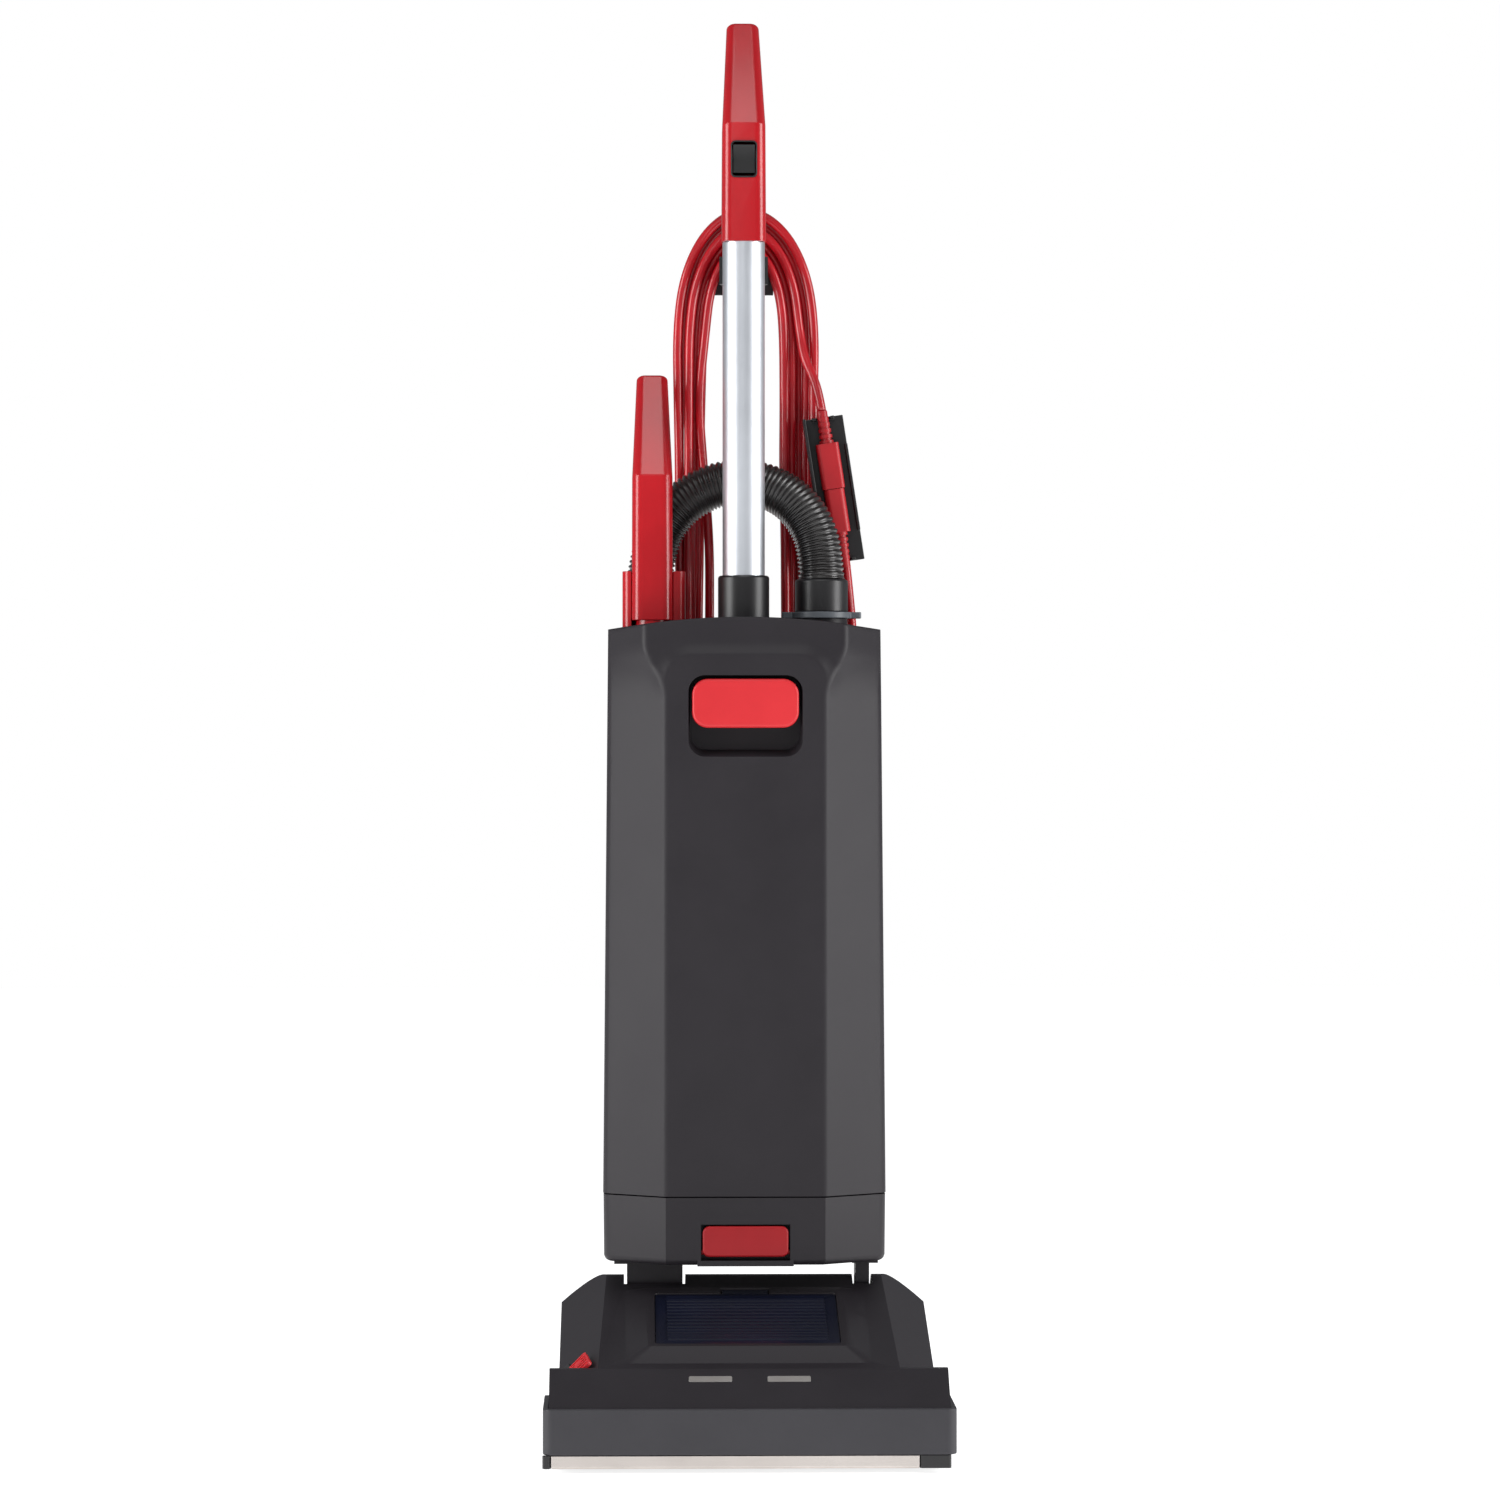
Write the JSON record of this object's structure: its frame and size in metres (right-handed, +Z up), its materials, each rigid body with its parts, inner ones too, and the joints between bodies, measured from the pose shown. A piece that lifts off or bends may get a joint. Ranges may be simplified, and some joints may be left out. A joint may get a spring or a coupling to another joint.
{
  "type": "upright vacuum cleaner",
  "caption": "Commercial upright vacuum cleaner: tilting bagged body on a motorised brush head, aluminium handle tube, stored wand, corrugated hose and wound mains lead.",
  "frame": {"origin": "on the floor under the middle of the machine, cords left out", "axes": "+Z up the handle, -Y towards the nose, +X to the right as the machine is faced"},
  "size_m": [0.3402, 0.352, 1.2276],
  "materials": {
    "black_abs": "moulded, lightly textured, satin",
    "grey_abs": "moulded, satin",
    "red_abs": "moulded, gloss",
    "red_latch": "moulded, satin",
    "soft_black": "moulded rubber, matt",
    "aluminium_tube": "brushed and anodised",
    "bright_steel": "rolled strip",
    "steel_pin": "ground",
    "hose_vinyl": "corrugated, satin",
    "red_cord": "extruded, satin",
    "bristle_nylon": "nylon tufts",
    "navy_window": "tinted, gloss",
    "filter_paper": "pleated paper",
    "bag_paper": "filter paper",
    "grey_lock": "moulded, satin",
    "lens": "smoked, gloss",
    "switch_black": "moulded, matt"
  },
  "bodies": {
    "head": {"base_pan": "black_abs", "head_hood": "black_abs", "bumper": "grey_abs", "edge_strip": "bright_steel", "strip_ends": "black_abs", "status_lenses": "lens", "pivot_pins": "steel_pin", "brush_bearings": "soft_black", "motor": "grey_abs", "drive_belt": "soft_black", "dirt_duct": "grey_abs", "exhaust_filter": "filter_paper", "wheel_axles": "steel_pin", "roller_axles": "steel_pin"},
    "brush": {"brush_core": "black_abs", "brush_tufts": "bristle_nylon"},
    "pulley": {"motor_pulley": "steel_pin"},
    "window": {"exhaust_window": "navy_window"},
    "pedal": {"release_pedal": "red_latch"},
    "button": {"reset_button": "switch_black"},
    "wheel_left": {"rear_wheel_left": "soft_black"},
    "wheel_right": {"rear_wheel_right": "soft_black"},
    "roller_left": {"front_roller_left": "soft_black"},
    "roller_right": {"front_roller_right": "soft_black"},
    "upright": {"lower_housing": "black_abs", "rear_housing": "black_abs", "dust_bag": "bag_paper", "bag_dock": "grey_abs", "bag_collar": "bag_paper", "motor_filter": "filter_paper", "wand_well": "grey_abs", "tube_collar": "black_abs", "handle_tube": "aluminium_tube", "grip_front": "red_abs", "grip_rear": "red_abs", "switch_bezel": "red_abs", "hook_mount": "black_abs", "low_cord_hook": "black_abs", "wand_grip": "red_abs", "wand_tube": "aluminium_tube", "wand_socket": "red_abs", "hose_cuff": "black_abs", "hose_end_cuff": "black_abs", "hose": "hose_vinyl", "cord_inlet": "soft_black", "pigtail_cord": "red_cord", "main_cord_lead": "red_cord", "main_cord_tail": "red_cord", "main_cord_coil": "red_cord", "connector_guard": "soft_black", "cord_socket": "red_cord", "cord_plug": "red_cord", "mains_plug": "red_cord"},
    "door": {"bag_door": "black_abs"},
    "door_latch": {"door_latch": "red_latch"},
    "filter_latch": {"filter_latch": "red_latch"},
    "switch": {"power_switch": "switch_black"},
    "cord_hook": {"top_cord_hook": "black_abs"},
    "lock_ring": {"hose_lock_ring": "grey_lock"}
  },
  "joints": [
    {"name": "recline", "type": "hinge", "parent": "head", "child": "upright", "pos_m": [0, 0.08, 0.098], "axis": [-1, 0, 0], "range_deg": [0, 70]},
    {"name": "brush_spin", "type": "hinge", "parent": "head", "child": "brush", "pos_m": [0, -0.133, 0.033], "axis": [1, 0, 0], "continuous": true},
    {"name": "motor_spin", "type": "hinge", "parent": "head", "child": "pulley", "pos_m": [0, -0.045, 0.05], "axis": [1, 0, 0], "continuous": true},
    {"name": "window_lift", "type": "hinge", "parent": "head", "child": "window", "pos_m": [0, -0.1025, 0.0985], "axis": [1, 0, 0], "range_deg": [0, 6]},
    {"name": "pedal_press", "type": "slide", "parent": "head", "child": "pedal", "axis": [0.6962, 0.1748, -0.6962], "range_m": [0, 0.003]},
    {"name": "button_press", "type": "slide", "parent": "head", "child": "button", "axis": [0.6962, 0.1748, -0.6962], "range_m": [0, 0.0012]},
    {"name": "wheel_left_spin", "type": "hinge", "parent": "head", "child": "wheel_left", "pos_m": [-0.138, 0.086, 0.03], "axis": [1, 0, 0], "continuous": true},
    {"name": "wheel_right_spin", "type": "hinge", "parent": "head", "child": "wheel_right", "pos_m": [0.138, 0.086, 0.03], "axis": [1, 0, 0], "continuous": true},
    {"name": "roller_left_spin", "type": "hinge", "parent": "head", "child": "roller_left", "pos_m": [-0.044, -0.078, 0.013], "axis": [1, 0, 0], "continuous": true},
    {"name": "roller_right_spin", "type": "hinge", "parent": "head", "child": "roller_right", "pos_m": [0.044, -0.078, 0.013], "axis": [1, 0, 0], "continuous": true},
    {"name": "door_swing", "type": "hinge", "parent": "upright", "child": "door", "pos_m": [0, 0.0016, 0.215], "axis": [1, 0, 0], "range_deg": [0, 75]},
    {"name": "door_latch_lift", "type": "hinge", "parent": "door", "child": "door_latch", "pos_m": [0, 0.005, 0.649], "axis": [-1, 0, 0], "range_deg": [0, 22]},
    {"name": "filter_latch_pull", "type": "hinge", "parent": "upright", "child": "filter_latch", "pos_m": [0, 0.005, 0.166], "axis": [1, 0, 0], "range_deg": [0, 18]},
    {"name": "switch_rock", "type": "hinge", "parent": "upright", "child": "switch", "pos_m": [0, 0.068, 1.1035], "axis": [1, 0, 0], "range_deg": [-7, 7]},
    {"name": "cord_hook_turn", "type": "hinge", "parent": "upright", "child": "cord_hook", "pos_m": [0, 0.13, 1.009], "axis": [0, 1, 0], "range_deg": [0, 180]},
    {"name": "hose_lock_turn", "type": "hinge", "parent": "upright", "child": "lock_ring", "pos_m": [0.068, 0.1, 0.71], "axis": [0, 0, 1], "range_deg": [0, 25]}
  ],
  "couplings": [
    {"joint": "motor_spin", "follows": "brush_spin", "ratio": 1.9901}
  ]
}
